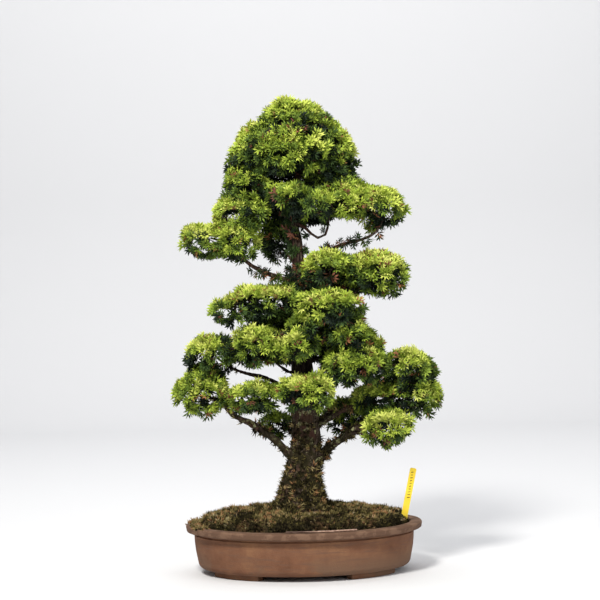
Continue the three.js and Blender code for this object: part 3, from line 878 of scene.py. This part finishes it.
def grown(name, mesh, hue, cover, slot, *stands_for, **values):
    """A finished piece of sprays over a mesh, by the hue and the cover at each of its corners."""
    for attribute, numbers in (("hue", hue), ("cover", cover)):
        layer = mesh.attributes.new(attribute, "FLOAT", "POINT")
        layer.data.foreach_set("value", np.asarray(numbers, np.float32))
    sprays = scattered(name, new_piece(name + "_guide", mesh), **values)
    shown(new_piece(name, sprays, values["Material"]), slot, *stands_for)


REACH = 11 * MM       # how far the sprays stand out from the surface that they grow on
LUMP = 32 * MM        # size of the clumps that a pad is made up of
GAP_CLOSED = 34 * MM  # growth reaches out to the next pad or the trunk when it is nearer than this
CORE = 0.66           # size of the shaded inner growth, as a share of its pad
# Painted shade: the hue of the pads behind the trunk is lowered by this much.
BACK_SHADE = 0.2      # how much darker the pads behind the trunk are


def pad_guide(name, neighbours):
    """The surfaces that a pad's sprays grow on: lit lumpy growth outside and shaded growth inside."""
    mesh = remeshed(cad_mesh([name]), "guide", voxel=5 * MM, smoothing=3)
    places, normals = corners_and_normals(mesh)
    centre = (places.max(0) + places.min(0)) / 2
    half = (places.max(0) - places.min(0)) / 2
    inset = min(REACH, 0.45 * half.min())
    behind = "back" in name
    gap_closed = GAP_CLOSED * (1.5 if behind else 1.0)
    outer = places.copy()
    hue, cover = [], []
    for i, p in enumerate(places):
        spot = Vector(p)
        up = normals[i][2]
        lump = swell(spot, LUMP)
        fine = noise.noise(spot * 45)
        gap = neighbours.find_nearest(spot, gap_closed)[3]
        close = 0.0 if gap is None else 1 - gap / gap_closed
        ragged = 12 * MM * noise.noise(spot * 19) + 5 * MM * fine - 8 * MM * (1 - lump)
        outer[i] = p - normals[i] * (inset * (1 + 0.6 * up - 1.5 * close) - ragged * (1 - close))
        # Painted shade: the hue is darker on undersides and where the pad nears another pad or the
        # trunk.
        painted_shade = 0.34 * max(0.0, -up) + 0.48 * close
        # Painted light in the hue: it is brighter on upward faces. It is also brighter on the lumps and
        # darker in their creases, which is partly painted light and shade and partly older growth in the
        # creases. The noise is the leaves' own tone.
        hue.append(0.49 + 0.32 * lump + 0.12 * up + 0.22 * noise.noise(spot * 14) - painted_shade)
        under = 0.45 + 0.55 * clamped((up + 0.7) / 0.6)
        cover.append(under * (1 - 0.35 * close))
    # Painted shade on the pads behind the trunk.
    hue = [light - (BACK_SHADE if behind else 0.0) for light in hue]
    core = centre + (outer - centre) * CORE
    polygons = [tuple(polygon.vertices) for polygon in mesh.polygons]
    count = len(places)
    both = mesh_of(
        name + "_guide", np.vstack((outer, core)),
        polygons + [tuple(corner + count for corner in polygon) for polygon in polygons],
    )
    bpy.data.meshes.remove(mesh)
    # The inner growth gets a tenth of the outer hue: painted shade.
    return both, hue + [0.1 * light for light in hue], cover + [0.75] * count, outer


SPRAYS = kept_shapes("sprays", [leaf_spray(f"spray_{i}", 40 + i) for i in range(3)])
SPRIGS = kept_shapes("sprigs", [moss_sprig(f"sprig_{i}", 60 + i) for i in range(3)])


def make_foliage():
    """One piece of sprays to a pad, and the places that its twigs must reach."""
    reached = []
    for number, name in enumerate(PAD_NODES):
        others = tree_over(["trunk"] + [other for other in PAD_NODES if other != name])
        mesh, hue, cover, surface = pad_guide(name, others)
        reached.append(surface)
        grown(
            name.replace("foliage_", "sprays_"), mesh, hue, cover, "foliage", name, Sprays=SPRAYS,
            Material=LEAF, Spacing=0.0107, Sprays_per_tuft=7, Lean_least=0.05, Lean_most=0.95,
            Upward=0.45, Size_least=0.7, Size_most=1.27, Seed=100 + number, Hue_spread=0.22,
            Dead_share=0.03,
        )
    return reached


def make_inner_growth(wood):
    """Shaded, sparse sprays and dead ones along the boughs and the upper trunk."""
    mesh = wood.data.copy()
    places, normals = corners_and_normals(mesh)
    hue, cover = [], []
    for i, p in enumerate(places):
        spot = Vector(p)
        off_axis = math.hypot(p[0], p[1])
        crowded = clamped((p[2] - 0.34) / 0.25)
        patchy = clamped(0.42 + 0.5 * crowded + 1.5 * noise.noise(spot * 22))
        boughs = clamped((off_axis - 0.035) / 0.05)
        cover.append(crowded * patchy * (0.45 + 0.55 * boughs))
        # A low hue for painted shade on the inner sprays.
        hue.append(0.05 + 0.25 * max(0.0, noise.noise(spot * 30)))
    grown(
        "inner_growth", mesh, hue, cover, "foliage", Sprays=SPRAYS, Material=LEAF, Spacing=0.0085,
        Sprays_per_tuft=5, Lean_least=0.1, Lean_most=1.1, Upward=0.1, Size_least=0.5, Size_most=1.15,
        Seed=5, Hue_spread=0.08, Dead_share=0.16,
    )


TWIG_THIN = 0.55 * MM
TWIG_THICK = 3.2 * MM
TWIG_GROWTH = 0.42    # how fast a twig's radius grows with the twigs that it carries
TWIG_SAG = 0.12


def add_tube(points, faces, line, radii, sides=5):
    """Adds a closed tapering tube along a line."""
    first = len(points)
    for k, spot in enumerate(line):
        way = (line[min(k + 1, len(line) - 1)] - line[max(k - 1, 0)]).normalized()
        across = way.orthogonal().normalized()
        beside = way.cross(across)
        for i in range(sides):
            turn = 2 * math.pi * i / sides
            points.append(spot + (across * math.cos(turn) + beside * math.sin(turn)) * radii[k])
    for k in range(len(line) - 1):
        faces += between_rings(first + k * sides, first + (k + 1) * sides, sides)
    faces.append(tuple(first + i for i in reversed(range(sides))))
    last = first + (len(line) - 1) * sides
    faces.append(tuple(last + i for i in range(sides)))


def make_twigs(wood, reached):
    """Twigs from the boughs to the middle of each pad and a sample of points in it, each joining the
    nearest wood already there.
    """
    rng = random.Random(31)
    bark_places, _ = corners_and_normals(wood.data)
    tree = KDTree(len(bark_places))
    for i, p in enumerate(bark_places):
        tree.insert(p, i)
    tree.balance()
    points, faces = [], []
    for surface in reached:
        centre = Vector(surface.mean(0))
        goals = [centre]
        for i in rng.sample(range(len(surface)), min(len(surface), 16 + len(surface) // 45)):
            goals.append(centre.lerp(Vector(surface[i]), rng.uniform(0.55, 1.0)))
        goals[1:] = sorted(goals[1:], key=lambda goal: (goal - centre).length)
        entry, _, _ = tree.find(centre)
        stems = [(Vector(entry), None)]
        loads = [0]
        for goal in goals:
            best = min(range(len(stems)), key=lambda k: (stems[k][0] - goal).length)
            stems.append((goal, best))
            loads.append(1)
            while best is not None:
                loads[best] += 1
                best = stems[best][1]
        for k, (goal, source) in enumerate(stems):
            if source is None:
                continue
            start = stems[source][0]
            sag = Vector((rng.uniform(-1, 1), rng.uniform(-1, 1), rng.uniform(-1.2, 0.4)))
            middle = start.lerp(goal, 0.5) + sag * (goal - start).length * TWIG_SAG
            wide = min(TWIG_THICK, TWIG_THIN * loads[source] ** TWIG_GROWTH)
            thin = min(wide, TWIG_THIN * loads[k] ** TWIG_GROWTH)
            add_tube(points, faces, [start, middle, goal], [wide, (wide + thin) / 2, thin])
    mesh = mesh_of("fine_twigs", points, faces)
    outward(mesh)
    shown(new_piece("fine_twigs", mesh, BARK), "bark")


# ---- moss, soil, label, twig

def make_moss():
    """A close dark felt over the soil, with clumps of sprigs standing in it."""
    mesh = remeshed(cad_mesh(["moss"]), "moss_felt", voxel=3.2 * MM, smoothing=2)
    places, normals = corners_and_normals(mesh)
    for i, p in enumerate(places):
        spot = Vector(p)
        above = clamped((p[2] - RIM) / 0.012)
        lumps = 10 * MM * (swell(spot, 42 * MM) - 0.45) + 3.5 * MM * noise.noise(spot * 60)
        places[i] = p + normals[i] * lumps * above
    move_corners(mesh, places)
    shown(new_piece("moss_felt", mesh, FELT), "moss", "moss")
    hue, cover = [], []
    for i, p in enumerate(places):
        spot = Vector(p)
        ends = max(0.0, abs(p[0] - POT_CENTRE.x) / 0.2 - 0.72)
        low = 1 - clamped((p[2] - RIM + 0.004) / 0.018)
        patch = 0.7 * noise.noise(spot * 24) + 0.45 * noise.noise(spot * 90)
        hue.append(0.44 + patch + 0.4 * ends - 0.42 * low)
        in_view = normals[i][2] > -0.1 and p[2] > RIM - 0.006
        clumps = 0.5 + 1.5 * swell(spot, 14 * MM) + 0.8 * noise.noise(spot * 30)
        cover.append(clamped(clumps - 0.45, 0.1) if in_view else 0.0)
    grown(
        "moss_sprigs", mesh.copy(), hue, cover, "moss", "moss", Sprays=SPRIGS, Material=MOSS,
        Spacing=0.0032, Sprays_per_tuft=1, Lean_least=0.0, Lean_most=1.0, Upward=0.6,
        Size_least=0.8, Size_most=2.2, Seed=7, Hue_spread=0.22, Dead_share=0.02,
    )


def make_lip_moss(pot):
    """Moss and dry bits that have spilled over the lip's left end."""
    mesh = pot.data.copy()
    places, normals = corners_and_normals(mesh)
    hue, cover = [], []
    for i, p in enumerate(places):
        spot = Vector(p)
        end = clamped((POT_CENTRE.x - 0.145 - p[0]) / 0.04)
        inward = clamped(normals[i][2] * 1.2)
        patchy = clamped(0.35 + 2.2 * noise.noise(spot * 45))
        cover.append(end * inward * patchy if p[2] > RIM - 0.012 else 0.0)
        hue.append(0.62 + 0.5 * noise.noise(spot * 60))
    grown(
        "lip_moss", mesh, hue, cover, "moss", Sprays=SPRIGS, Material=MOSS, Spacing=0.0034,
        Sprays_per_tuft=2, Lean_least=0.2, Lean_most=1.4, Upward=0.4, Size_least=1.0, Size_most=2.2,
        Seed=21, Hue_spread=0.22, Dead_share=0.02,
    )


def make_trunk_moss(wood):
    """Moss creeping up the foot of the trunk, dense at the soil and thinning upwards."""
    mesh = wood.data.copy()
    places, normals = corners_and_normals(mesh)
    hue, cover = [], []
    for i, p in enumerate(places):
        spot = Vector(p)
        height = (p[2] - RIM) / 0.25
        patchy = noise.noise(spot * 34) + 0.6 * noise.noise(spot * 90)
        want = 1.15 - 1.2 * height + 0.9 * patchy
        cover.append(clamped(want) if 0.0 < height < 1.6 else 0.0)
        lichen = 0.55 * max(0.0, noise.noise(spot * 40 + Vector((9, 4, 2)))) if height > 0.35 else 0.0
        hue.append(0.36 + 0.7 * noise.noise(spot * 70) + 1.5 * lichen)
    grown(
        "trunk_moss", mesh, hue, cover, "moss", Sprays=SPRIGS, Material=MOSS, Spacing=0.0038,
        Sprays_per_tuft=1, Lean_least=0.3, Lean_most=1.4, Upward=0.2, Size_least=1.0, Size_most=3.0,
        Seed=9, Hue_spread=0.24, Dead_share=0.0,
    )


LABEL_WIDE = 12.2 * MM
TICKS = 10
TICK_STEP = 5.4 * MM
TICKS_IN = 6.3 * MM   # from the label's right edge


def make_label_marks():
    """A short row of plain rubbed pencil ticks near the label's top, on its face."""
    rng = random.Random(12)
    tree = tree_over(["plant_label"])
    middle = (label_low + label_high) / 2
    lean = (label_high.x - label_low.x - LABEL_WIDE) / (label_high.z - label_low.z)
    points, faces = [], []
    for k in range(TICKS):
        z = label_high.z - 9 * MM - k * TICK_STEP
        x = label_high.x - TICKS_IN - lean * (label_high.z - z)
        hit, normal, _, _ = tree.ray_cast(Vector((x, middle.y - 0.1, z)), Vector((0, 1, 0)))
        if hit is None:
            continue
        tilt = rng.uniform(-0.1, 0.5)
        way = Vector((math.cos(tilt), 0, math.sin(tilt)))
        way = (way - normal * way.dot(normal)).normalized()
        across = normal.cross(way).normalized()
        half, thin = rng.uniform(1.7, 2.6) * MM, rng.uniform(0.5, 0.8) * MM
        first = len(points)
        for depth in (-0.2 * MM, 0.1 * MM):
            for u, v in ((-1, -1), (1, -1), (1, 1), (-1, 1)):
                points.append(hit + way * half * u + across * thin * v + normal * depth)
        for quad in ((0, 1, 2, 3), (4, 7, 6, 5), (0, 4, 5, 1), (1, 5, 6, 2), (2, 6, 7, 3), (3, 7, 4, 0)):
            faces.append(tuple(first + corner for corner in quad))
    mesh = mesh_of("label_ticks", points, faces, smooth=False)
    outward(mesh)
    shown(new_piece("label_ticks", mesh, pencil()), "label_plastic")


def carry_over(name, material):
    """A CAD node that keeps its own shape and gets a finished material."""
    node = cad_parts[name]
    painted(node, material)


def make_soil():
    """Gritty soil under the moss, uneven where the moss lets it show."""
    mesh = remeshed(cad_mesh(["soil"]), "potting_soil", voxel=4 * MM, smoothing=1)
    places, normals = corners_and_normals(mesh)
    for i, p in enumerate(places):
        open_top = clamped((p[2] - RIM + 0.016) / 0.006) * max(0.0, normals[i][2])
        places[i] = p + normals[i] * open_top * (1.6 * noise.noise(Vector(p) * 160) - 0.6) * MM
    move_corners(mesh, places)
    mesh.shade_smooth()
    shown(new_piece("potting_soil", mesh, soil_grit()), "soil", "soil")


def make_fallen_twig():
    """A dry twig with a peeling, knotted surface, lying on the front of the lip."""
    mesh = remeshed(cad_mesh(["fallen_twig"]), "dry_twig", voxel=0.5 * MM, smoothing=2)
    places, normals = corners_and_normals(mesh)
    for i, p in enumerate(places):
        knots = max(0.0, noise.noise(Vector((p[0] * 60, 3, 8))) - 0.25)
        ridges = noise.noise(Vector((p[0] * 90, p[1] * 900, p[2] * 900)))
        places[i] = p + normals[i] * (1.6 * knots + 0.22 * ridges) * MM
    move_corners(mesh, places)
    mesh.shade_smooth()
    shown(new_piece("dry_twig", mesh, dry_twig()), "dead_twig", "fallen_twig")


# ---- the studio

def make_studio():
    """A seamless pale floor and wall, a big soft key from the upper left and a weak fill."""
    points, faces = [], []
    section = [(-4.5, 0.0), (3.6, 0.0)]
    section += [(3.6 + y, z + 1.0) for y, z in arc((0, 0), 1.0, -90, 0, 12)][1:]
    section.append((4.6, 5.0))
    for x in (-5.0, 5.0):
        points += [Vector((x, y, z)) for y, z in section]
    n = len(section)
    for i in range(n - 1):
        faces.append((i, n + i, n + i + 1, i + 1))
    material = Finish("pale_paper", (0.7, 0.7, 0.71), 0.9, 0.1).material
    sweep = new_piece("seamless_paper", mesh_of("seamless_paper", points, faces), material)
    world = bpy.data.worlds.new("room")
    world.use_nodes = True
    background = world.node_tree.nodes["Background"]
    background.inputs["Color"].default_value = (0.95, 0.97, 1.0, 1)
    background.inputs["Strength"].default_value = 0.38
    bpy.context.scene.world = world

    def lamp(name, place, target, size, power, colour):
        light = bpy.data.lights.new(name, "AREA")
        light.shape = "DISK"
        light.size = size
        light.energy = power
        light.color = colour
        lamp_object = bpy.data.objects.new(name, light)
        bpy.context.scene.collection.objects.link(lamp_object)
        lamp_object.location = place
        way = Vector(target) - Vector(place)
        lamp_object.rotation_euler = way.to_track_quat("-Z", "Y").to_euler()

    lamp("key", (-0.75, -2.1, 2.4), (0, 0, 0.5), 0.6, 106, (1.0, 0.98, 0.93))
    lamp("fill", (2.2, -1.9, 1.2), (0, 0, 0.5), 1.8, 26, (0.97, 0.98, 1.0))
    lamp("wall_wash", (0, 1.6, 4.4), (0, 4.6, 1.0), 5.0, 165, (1.0, 1.0, 1.0))


def make_camera():
    """Level, at eye height to the middle of the tree, with the slight lean of a hand-set camera."""
    camera = bpy.data.cameras.new("view")
    camera.sensor_width = 36
    camera.lens = 101.5
    eye = bpy.data.objects.new("view", camera)
    bpy.context.scene.collection.objects.link(eye)
    eye.matrix_world = (
        Matrix.Translation((POT_CENTRE.x + 1.5 * MM, POT_CENTRE.y - 3.3, 0.527))
        @ Matrix.Rotation(math.radians(90), 4, "X")
        @ Matrix.Rotation(math.radians(-1.2), 4, "Z")
    )
    bpy.context.scene.camera = eye
    bpy.context.scene.view_settings.view_transform = "Standard"


make_camera()
make_studio()
make_lip_moss(make_pot())
wood = make_wood()
make_trunk_moss(wood)
make_twigs(wood, make_foliage())
make_inner_growth(wood)
make_moss()
make_soil()
carry_over("plant_label", label_plastic())
make_label_marks()
make_fallen_twig()
SCREEN = screen_plastic()
WIRE = clip_wire()
for side_name in ("left", "right"):
    carry_over(f"drainage_screen_{side_name}", SCREEN)
    carry_over(f"screen_clip_{side_name}", WIRE)
